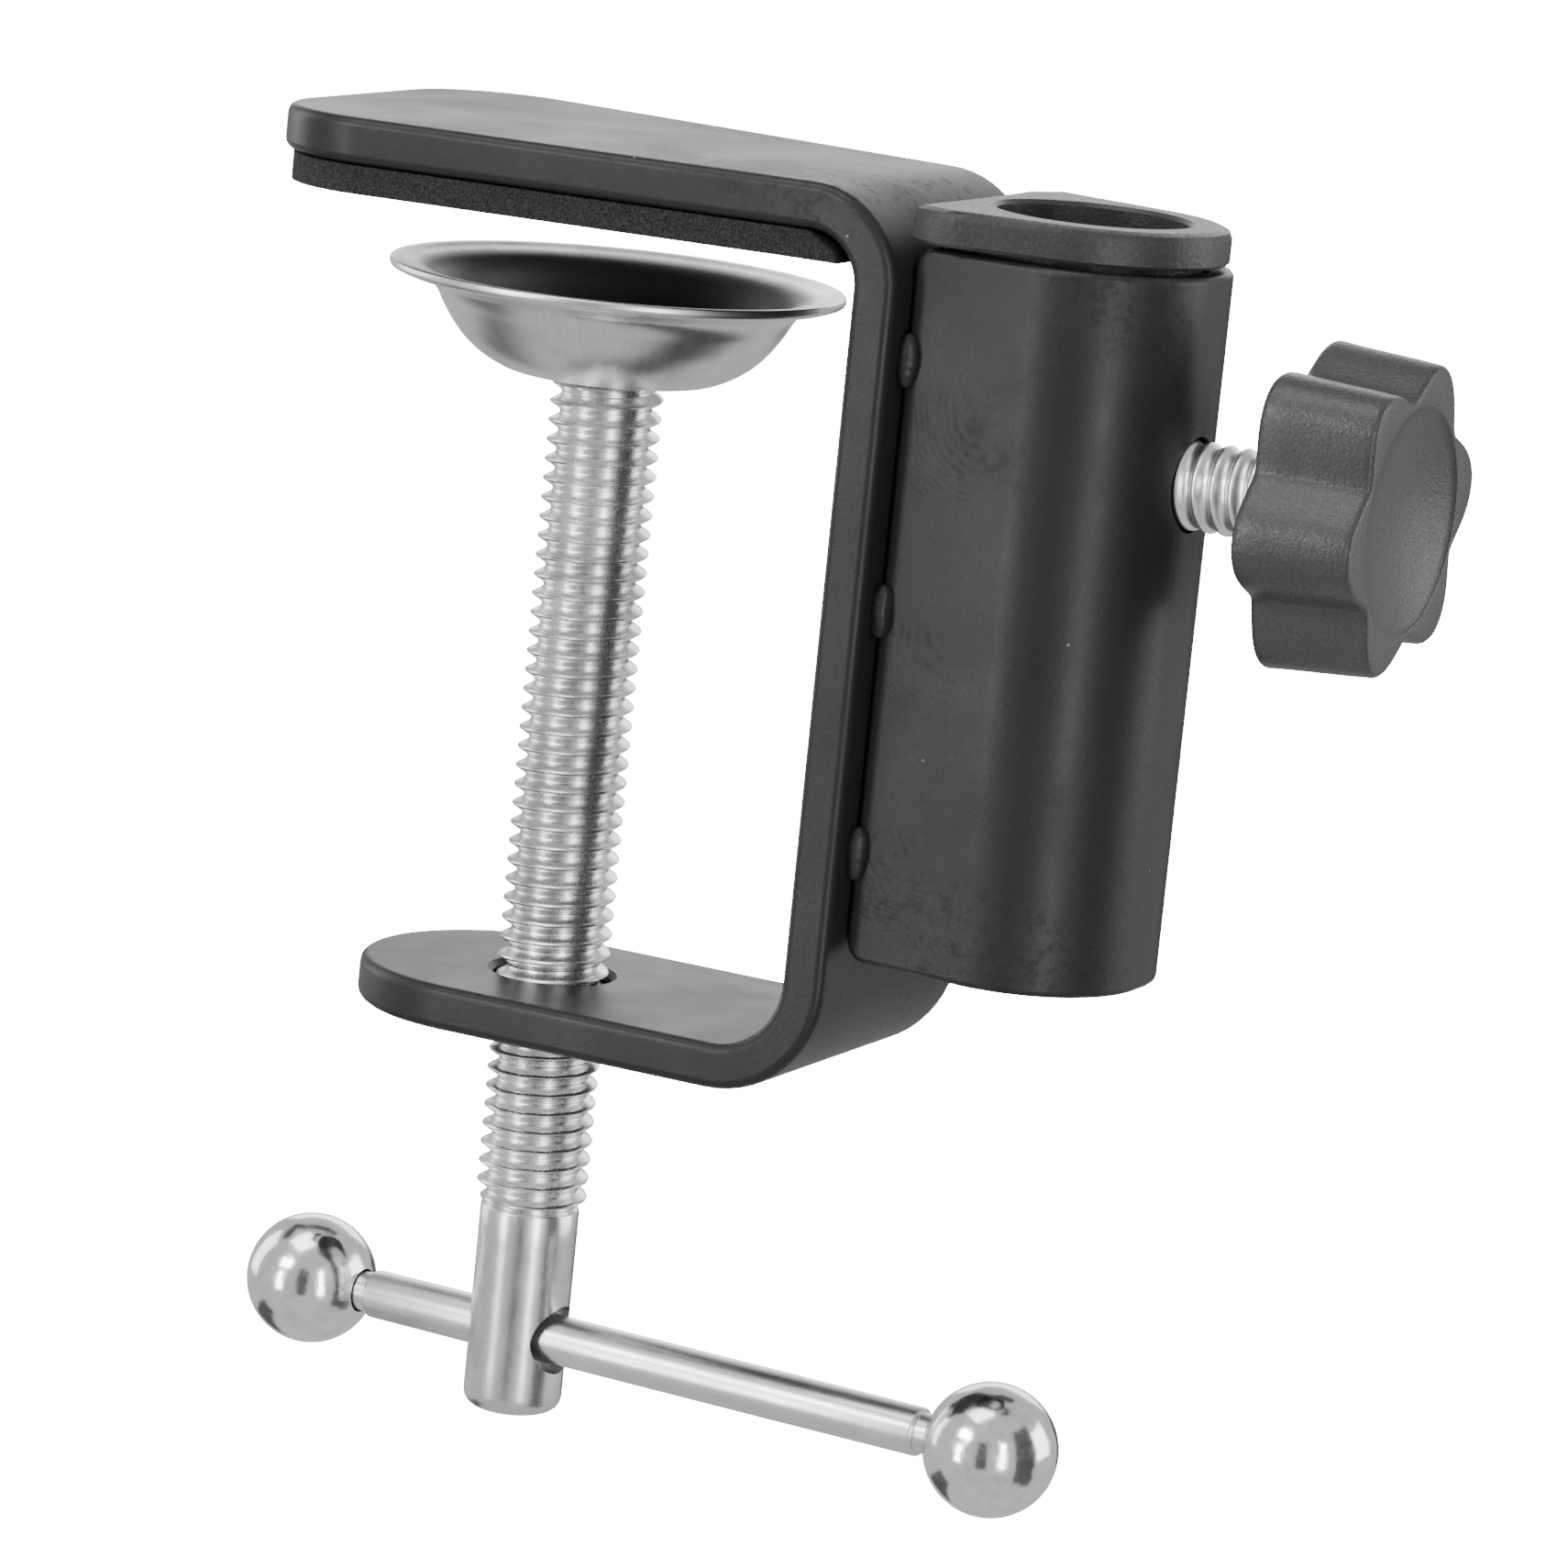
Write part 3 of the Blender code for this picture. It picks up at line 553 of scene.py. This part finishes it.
def make_spindle(mat):
    """Clamping spindle: plain shank with the bar's cross hole, rolled thread, and riveted head in the cup."""
    low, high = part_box("spindle")
    cup_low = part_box("pressure_cup")[0].z
    crest = high.x
    root = crest - 0.95 * MM
    shank = low.z
    shank_r = 4.45 * MM
    bar_hole_r, cutter_half = 3.1 * MM, 8.0 * MM
    thread_low, thread_high = shank + 19.0 * MM, cup_low - 0.5 * MM
    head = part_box("cup_washer")[1].z + 0.45 * MM
    pin_r, head_r = 2.8 * MM, 4.3 * MM
    dome_low = head + 0.15 * MM
    low_rings = [(0.0, shank)]
    low_rings += [(r * MM, shank + h * MM) for r, h in (
        (2.9, 0.0), (3.35, 0.05), (3.75, 0.22), (4.1, 0.5), (4.32, 0.85), (4.43, 1.25))]
    low_rings += [(shank_r, shank + h * MM) for h in (1.7, 4.0, 7.1, 10.2, 13.0, 16.0, 18.6)]
    low_rings += [(4.38 * MM, shank + 18.75 * MM)]
    high_rings = [(root - 0.3 * MM, cup_low - 0.44 * MM), (pin_r, cup_low - 0.42 * MM), (pin_r, head),
                  (head_r - 0.2 * MM, head), (head_r, dome_low)]
    for k in range(1, 8):
        a = math.pi / 2 * k / 7
        high_rings.append((head_r * math.cos(a) if k < 7 else 0.0,
                           dome_low + (high.z - dome_low) * math.sin(a)))
    points, faces = threaded(low_rings, high_rings, thread_low, thread_high, crest, root, SPINDLE_PITCH,
                             (0.5 * MM, 0.4 * MM), 0.6, (0.0, 0.0, 0.0), UPRIGHT)
    obj = finished("clamp_spindle", points, faces, "clamp_screw", mat, ("spindle",),
                   THREAD_SHARP, False)
    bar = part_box("handle_bar")
    middle = (0.0, 0.0, (bar[0].z + bar[1].z) / 2)
    along = Vector((0, 0, 1)).rotation_difference(joint_axis("bar_slide")).to_matrix()
    outline = [(0.0, -cutter_half), (bar_hole_r, -cutter_half), (bar_hole_r, cutter_half), (0.0, cutter_half)]
    cut_away(obj, *spin(outline, False, middle, along, 64))
    obj.data.shade_smooth()
    obj.data.set_sharp_from_angle(angle=math.radians(THREAD_SHARP))


def make_stud(mat):
    """The lock knob's stud, with a coarse, round-crested thread."""
    low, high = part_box("knob_stud")
    centre = (0.0, 0.0, (low.z + high.z) / 2)
    crest = (high.z - low.z) / 2
    root = crest - 0.32 * MM
    plug_r = 1.8 * MM
    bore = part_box("stud_tip")[1].x + 0.3 * MM
    low_rings = [(0.0, bore), (plug_r, bore), (plug_r, low.x), (root - 0.2 * MM, low.x)]
    high_rings = [(root - 0.2 * MM, high.x), (0.0, high.x)]
    points, faces = threaded(low_rings, high_rings, low.x + 0.2 * MM, high.x - 0.5 * MM, crest, root,
                             STUD_PITCH, (0.8 * MM, 0.6 * MM), 0.1, centre, AXIS_X)
    finished("knob_stud_thread", points, faces, "lock_screw", mat, ("knob_stud",),
             THREAD_SHARP, False)


KNOB_LOBES = 6
KNOB_TURN = math.radians(11.0)
KNOB_LOBE_POWER = 0.8          # under 1 makes the lobes broader than the flutes


def make_knob(mat):
    """Star knob: six soft lobes with draft, rounded rims, a dished face and a blind hole for the stud."""
    low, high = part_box("lock_knob")
    back, front = low.x, high.x
    mid_z = (low.z + high.z) / 2
    lobe_r = (14.2 * MM, 13.5 * MM)
    valley_r = (11.3 * MM, 10.6 * MM)
    dish_r, dish_depth = 9.65 * MM, 1.8 * MM
    steps = 60 * KNOB_LOBES
    angles = np.arange(steps) * 2 * math.pi / steps
    wave = (0.5 + 0.5 * np.cos(KNOB_LOBES * (angles - KNOB_TURN))) ** KNOB_LOBE_POWER

    def lobed(share, inset):
        valley = valley_r[0] + (valley_r[1] - valley_r[0]) * share
        tip = lobe_r[0] + (lobe_r[1] - lobe_r[0]) * share
        return valley + (tip - valley) * wave - inset

    hole, hole_end = 4.0 * MM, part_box("knob_stud")[1].x + 0.2 * MM
    rows = [(np.full(steps, 1e-5), hole_end), (np.full(steps, hole), hole_end)]
    rows += [(np.full(steps, hole), back + 0.3 * MM), (np.full(steps, hole + 0.3 * MM), back)]
    rim = 0.75 * MM
    for k in range(6):
        a = math.pi / 2 * k / 5
        rows.append((lobed(0.0, rim * (1 - math.sin(a))), back + rim * (1 - math.cos(a))))
    for share in (0.25, 0.5, 0.75):
        rows.append((lobed(share, 0.0), back + (front - back) * share))
    rim = 0.6 * MM
    for k in range(6):
        a = math.pi / 2 * k / 5
        rows.append((lobed(1.0, rim * (1 - math.cos(a))), front - rim * (1 - math.sin(a))))
    for grow, sink in ((0.16, 0.0), (0.06, 0.02), (0.0, 0.07), (-0.08, 0.16)):
        rows.append((np.full(steps, dish_r + grow * MM), front - sink * MM))
    for k in range(1, 15):
        share = 1 - k / 14
        rows.append((np.full(steps, max(share, 1e-4) * (dish_r - 0.1 * MM)),
                     front - 0.16 * MM - (dish_depth - 0.16 * MM) * (1 - share**2)))
    points = [(x, r * math.cos(a), mid_z + r * math.sin(a))
              for radii, x in rows for a, r in zip(angles, radii)]
    finished("star_knob", points, tube_faces(len(rows), steps), "lock_screw", mat,
             ("lock_knob",), 42.0, False)


def make_balls(mat):
    """The two end balls, each a full sphere bored for the bar's neck."""
    axis = joint_axis("bar_slide")
    along = Vector((0, 0, 1)).rotation_difference(axis).to_matrix()
    for node_name, sign in (("handle_ball_left", 1), ("handle_ball_right", -1)):
        low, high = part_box(node_name)
        radius = (high.z - low.z) / 2
        far = low.x if sign > 0 else high.x
        centre = Vector((far + sign * radius * axis.x, 0.0, (low.z + high.z) / 2))
        centre.y = centre.x * axis.y / axis.x
        hole = 2.0 * MM
        start = math.asin(hole / radius)
        outline = [(0.0, -0.4 * MM * sign), (hole, -0.4 * MM * sign)]
        for k in range(61):
            a = start + (math.pi - start) * k / 60
            outline.append((radius * math.sin(a) if k < 60 else 0.0, sign * radius * math.cos(a)))
        points, faces = spin(outline, False, centre, along, 128)
        finished(node_name + "_polished", points, faces, "tommy_bar", mat, (node_name,),
                 45.0, False)


BEAD_R = 0.95 * MM
BEAD_RINGS = 64
BEAD_SIDES = 48


def make_welds(mat):
    """Fillet weld beads: rippled, run into the leg and the shell on either side of the corner."""
    rng = np.random.default_rng(7)
    for side, sign in (("near", -1), ("far", 1)):
        for index in (1, 2, 3):
            cad_node = f"weld_{side}_{index}"
            low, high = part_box(cad_node)
            mid = (low + high) / 2
            length = (high.z - low.z) / 2
            points = []
            lumps = rng.uniform(-1.0, 1.0, 4)
            for i in range(BEAD_RINGS):
                lat = -math.pi / 2 + math.pi * (i + 0.5) / BEAD_RINGS
                z = mid.z + length * math.sin(lat)
                ripple = 0.018 * math.sin((z - low.z) / (0.9 * MM) * 2 * math.pi)
                swell = 1.0 + ripple + 0.09 * lumps[0] * math.sin(3 * lat + lumps[1])
                radius = BEAD_R * math.cos(lat) ** 0.8 * swell
                for j in range(BEAD_SIDES):
                    a = 2 * math.pi * j / BEAD_SIDES
                    wobble = 1.0 + 0.05 * lumps[2] * math.cos(2 * a + 4 * lat)
                    wobble += 0.04 * lumps[3] * math.sin(5 * a)
                    points.append((mid.x - 0.35 * MM + radius * wobble * math.cos(a),
                                   mid.y - sign * 0.85 * MM + radius * wobble * math.sin(a), z))
            finished(f"bead_{side}_{index}", points, tube_faces(BEAD_RINGS, BEAD_SIDES), "clamp_body",
                     mat, (cad_node,), 60.0, False)


def make_pad(mat):
    """Foam pad: the CAD's flat sheet with a crisp edge."""
    pad = refined("foam_pad", "jaw_pad", "clamp_body", mat, 40.0)


# ---------------------------------------------------------------------------------------- studio
# name, azimuth, elevation, distance in metres, size in metres, radiance
SOFTBOXES = (
    ("top_box", -40, 70, 1.3, (0.7, 0.7), 4.2),
    ("near_left_box", -30, -2, 1.3, (0.22, 0.6), 10.0),
    ("near_left_high_box", -28, 27, 1.2, (0.4, 0.26), 18.0),
    ("near_right_box", 46, 4, 1.3, (0.2, 1.0), 11.5),
    ("right_box", 124, 10, 1.4, (0.8, 0.9), 3.6),
    ("back_box", 200, 18, 1.5, (1.3, 0.6), 2.2),
    ("left_box", -95, 12, 1.3, (0.6, 1.0), 2.6),
)
# name, azimuth, elevation, distance in metres, size in metres
FLAGS = (
    ("right_flag", 87, 2, 1.2, (0.76, 2.0)),
    ("near_flag", 11, 2, 1.2, (0.4, 1.0)),
    ("back_low_flag", 181, -10, 1.3, (0.4, 0.44)),
    ("left_high_flag", -103, 47, 1.1, (0.6, 0.26)),
    ("back_high_flag", 205, 62, 1.1, (0.9, 0.26)),
    ("left_low_flag", -98, -44, 1.1, (0.95, 0.36)),
    ("right_low_flag", 100, -34, 1.1, (0.32, 0.3)),
)
WORLD_STRENGTH = 0.62
ROOM_RADIUS = 6.0
ROOM_RISE = 5.0                # height of the upright dome's half
ROOM_CURVE = 1.5               # radius between floor and wall
FLOOR_DROP = 0.6               # floor below the clamp


def plain_grey(name, level):
    """Matt material of one grey, for the studio only."""
    mat = bpy.data.materials.new(name)
    mat.use_nodes = True
    shader = mat.node_tree.nodes["Principled BSDF"]
    shader.inputs["Base Color"].default_value = (level, level, level, 1.0)
    shader.inputs["Roughness"].default_value = 0.9
    return mat, shader


def softbox(name, spot, aim, size, radiance):
    """Rectangular light that faces `aim`; its power gives the panel that radiance."""
    data = bpy.data.lights.new(name, "AREA")
    data.shape = "RECTANGLE"
    data.size, data.size_y = size
    data.energy = radiance * math.pi * size[0] * size[1]
    light = bpy.data.objects.new(name, data)
    light.location = spot
    light.rotation_euler = (Vector(aim) - Vector(spot)).to_track_quat("-Z", "Y").to_euler()
    light.visible_camera = False
    bpy.context.scene.collection.objects.link(light)


def round_spot(azimuth, elevation, distance, middle):
    """Point seen from `middle` at that azimuth (0 is the near side, 90 the knob's side) and elevation."""
    az, el = math.radians(azimuth), math.radians(elevation)
    towards = Vector((math.sin(az) * math.cos(el), -math.cos(az) * math.cos(el), math.sin(el)))
    return middle + distance * towards


def flag(name, azimuth, elevation, distance, size, middle):
    """Dark grey board that only reflections see."""
    spot = round_spot(azimuth, elevation, distance, middle)
    half_w, half_h = size[0] / 2, size[1] / 2
    mesh = bpy.data.meshes.new(name)
    mesh.from_pydata([(-half_w, -half_h, 0), (half_w, -half_h, 0), (half_w, half_h, 0), (-half_w, half_h, 0)],
                     [], [(0, 1, 2, 3)])
    mesh.materials.append(plain_grey(name, 0.06)[0])
    board = bpy.data.objects.new(name, mesh)
    board.location = spot
    board.rotation_euler = (middle - spot).to_track_quat("-Z", "Y").to_euler()
    board.visible_camera = False
    board.visible_diffuse = False
    board.visible_shadow = False
    bpy.context.scene.collection.objects.link(board)


def make_studio():
    """Even world light, softboxes and flags, and a bright room that only the camera sees."""
    low, high = cad_box
    middle = (Vector(low) + Vector(high)) / 2
    world = bpy.data.worlds.new("studio")
    world.use_nodes = True
    world.node_tree.nodes["Background"].inputs["Color"].default_value = (1.0, 1.0, 1.0, 1.0)
    world.node_tree.nodes["Background"].inputs["Strength"].default_value = WORLD_STRENGTH
    bpy.context.scene.world = world

    floor_z = low[2] - FLOOR_DROP
    profile = [(0.0, floor_z)]
    profile += [(ROOM_RADIUS - ROOM_CURVE * (1 - math.sin(a)), floor_z + ROOM_CURVE * (1 - math.cos(a)))
                for a in np.radians(np.linspace(0, 90, 13))]
    profile += [(ROOM_RADIUS * math.cos(a), floor_z + ROOM_RISE * (1 + math.sin(a)))
                for a in np.radians(np.linspace(0, 85, 12))]
    profile.append((0.0, floor_z + 2 * ROOM_RISE))
    points, faces = spin(profile, False, (middle.x, middle.y, 0.0), UPRIGHT, 96)
    mesh = bpy.data.meshes.new("floor")
    mesh.from_pydata([tuple(p) for p in points], [], faces)
    mesh.shade_smooth()
    mat, shader = plain_grey("pale_paper", 0.9)
    shader.inputs["Emission Color"].default_value = (1.0, 1.0, 1.0, 1.0)
    shader.inputs["Emission Strength"].default_value = 20.0
    mesh.materials.append(mat)
    floor = bpy.data.objects.new("floor", mesh)
    floor.visible_diffuse = False
    floor.visible_glossy = False
    floor.visible_shadow = False
    bpy.context.scene.collection.objects.link(floor)

    for name, azimuth, elevation, distance, size, radiance in SOFTBOXES:
        softbox(name, round_spot(azimuth, elevation, distance, middle), middle, size, radiance)
    for name, azimuth, elevation, distance, size in FLAGS:
        flag(name, azimuth, elevation, distance, size, middle)


# ---------------------------------------------------------------------------------------- build
def cup_streaks(tree, place):
    """Drawing marks that run up the cup's wall."""
    return round_place(tree, place, (0.0, 0.0, 0.0), 55.0, 0.25)


def shank_streaks(tree, place):
    """Faint lines along the shank."""
    return round_place(tree, place, (0.0, 0.0, 0.0), 14.0, 0.35)


def bowl_painted_shade(tree, place):
    """1 on the bowl's inside, where it is painted darker as shade and made rougher, fading out on the lip."""
    flat = vector_calc(tree, "MULTIPLY", "Vector", place, (1.0, 1.0, 0.0))
    out = vector_calc(tree, "LENGTH", "Value", flat)
    inner = remap(tree, out, 16.0 * MM, 18.2 * MM, 1.0, 0.0, smooth=True)
    facing = node(tree, "SeparateXYZ", {"Vector": node(tree, "NewGeometry").outputs["Normal"]}).outputs["Z"]
    return calc(tree, "MULTIPLY", inner, remap(tree, facing, 0.0, 0.2))


def bar_streaks(tree, place):
    """Fine lines along the bar."""
    return vector_calc(tree, "MULTIPLY", "Vector", place, (0.12 / MM, 3.0 / MM, 3.0 / MM))


make_camera()
make_studio()

SHELL_PRINTS = (((38.2, -10.9, -14.5), 6.5), ((37.0, -10.9, -33.5), 5.5), ((36.0, -10.9, -52.0), 6.0))

coat = black_coat("frame_coat_look", 0.016, 0.8)
shell_coat = black_coat("socket_coat_look", 0.018, 0.5, SHELL_PRINTS)
bead_coat = black_coat("weld_coat_look", 0.02, 0.3)
plastic = moulded_plastic("liner_plastic_look", 0.026, 0.38, 0.07)
knob_plastic = moulded_plastic("knob_plastic_look", 0.044, 0.33, 0.06)

refined("frame_strip", "clamp_frame", "clamp_body", coat)
refined("socket_sheet", "socket_shell", "clamp_body", shell_coat)
refined("post_liner", "socket_liner", "clamp_body", plastic)
make_welds(bead_coat)
make_pad(foam("pad_foam_look"))

tip_low, tip_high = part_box("stud_tip")
lock_centre = (0.0, 0.0, (tip_low.z + tip_high.z) / 2)
respun("screw_tip", "stud_tip", lock_centre, AXIS_X, 64, "lock_carrier",
       moulded_plastic("tip_nylon_look", 0.5, 0.45))
make_stud(bright_steel("stud_zinc_look", 0.97, 0.34, stain=0.05))
make_knob(knob_plastic)

make_spindle(bright_steel("spindle_zinc_look", 0.93, 0.25, shank_streaks, stain=0.35, wave=0.05))
respun("swivel_washer", "cup_washer", (0.0, 0.0, 0.0), UPRIGHT, 96, "cup_carrier",
       bright_steel("washer_steel_look", 0.6, 0.3))
# the bowl's inside gets painted shade and more roughness
respun("swivel_cup", "pressure_cup", (0.0, 0.0, 0.0), UPRIGHT, 224, "cup",
       bright_steel("cup_steel_look", 0.86, 0.3, cup_streaks, painted_shade_and_rough=bowl_painted_shade), sharp=60.0)

bar_low, bar_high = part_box("handle_bar")
bar_axis = joint_axis("bar_slide")
bar_turn = Matrix.Rotation(math.atan2(bar_axis.y, bar_axis.x), 3, "Z") @ AXIS_X
respun("handle_rod", "handle_bar", (0.0, 0.0, (bar_low.z + bar_high.z) / 2), bar_turn, 72, "tommy_bar",
       bright_steel("bar_chrome_look", 0.92, 0.3, bar_streaks, grain=0.004))
make_balls(chrome("ball_chrome_look"))
